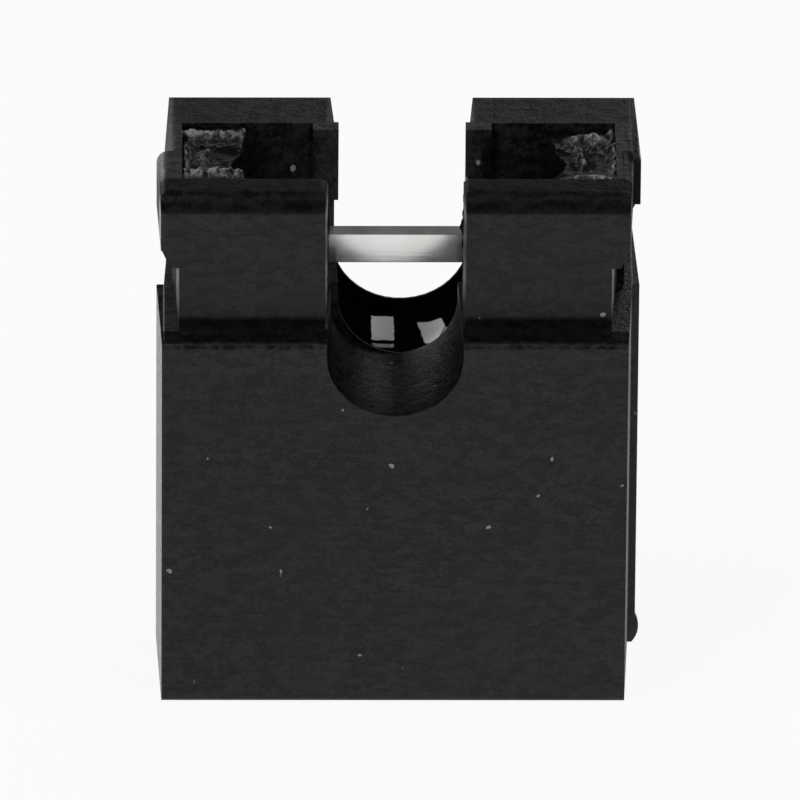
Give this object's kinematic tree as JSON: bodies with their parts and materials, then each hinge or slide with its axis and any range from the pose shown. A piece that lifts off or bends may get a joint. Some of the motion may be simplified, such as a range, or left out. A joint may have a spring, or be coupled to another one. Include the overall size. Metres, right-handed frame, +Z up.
{
  "type": "jumper shunt",
  "caption": "Open-top jumper shunt: a black moulded housing with hollow towers round a folded tinned clip that bridges neighbouring square posts of a pin header.",
  "frame": {"origin": "middle of the underside, on the parting plane of the mould, midway between the two posts", "axes": "+X along the row of posts, -Y towards the side with the finger ledge, +Z up, away from the board"},
  "size_m": [0.005, 0.0024, 0.0058],
  "materials": {
    "black_plastic": "fine grained moulding, satin",
    "tinned_metal": "bright tin plate on spring bronze"
  },
  "bodies": {
    "root": {"housing": "black_plastic", "contact_clip": "tinned_metal"}
  },
  "joints": []
}
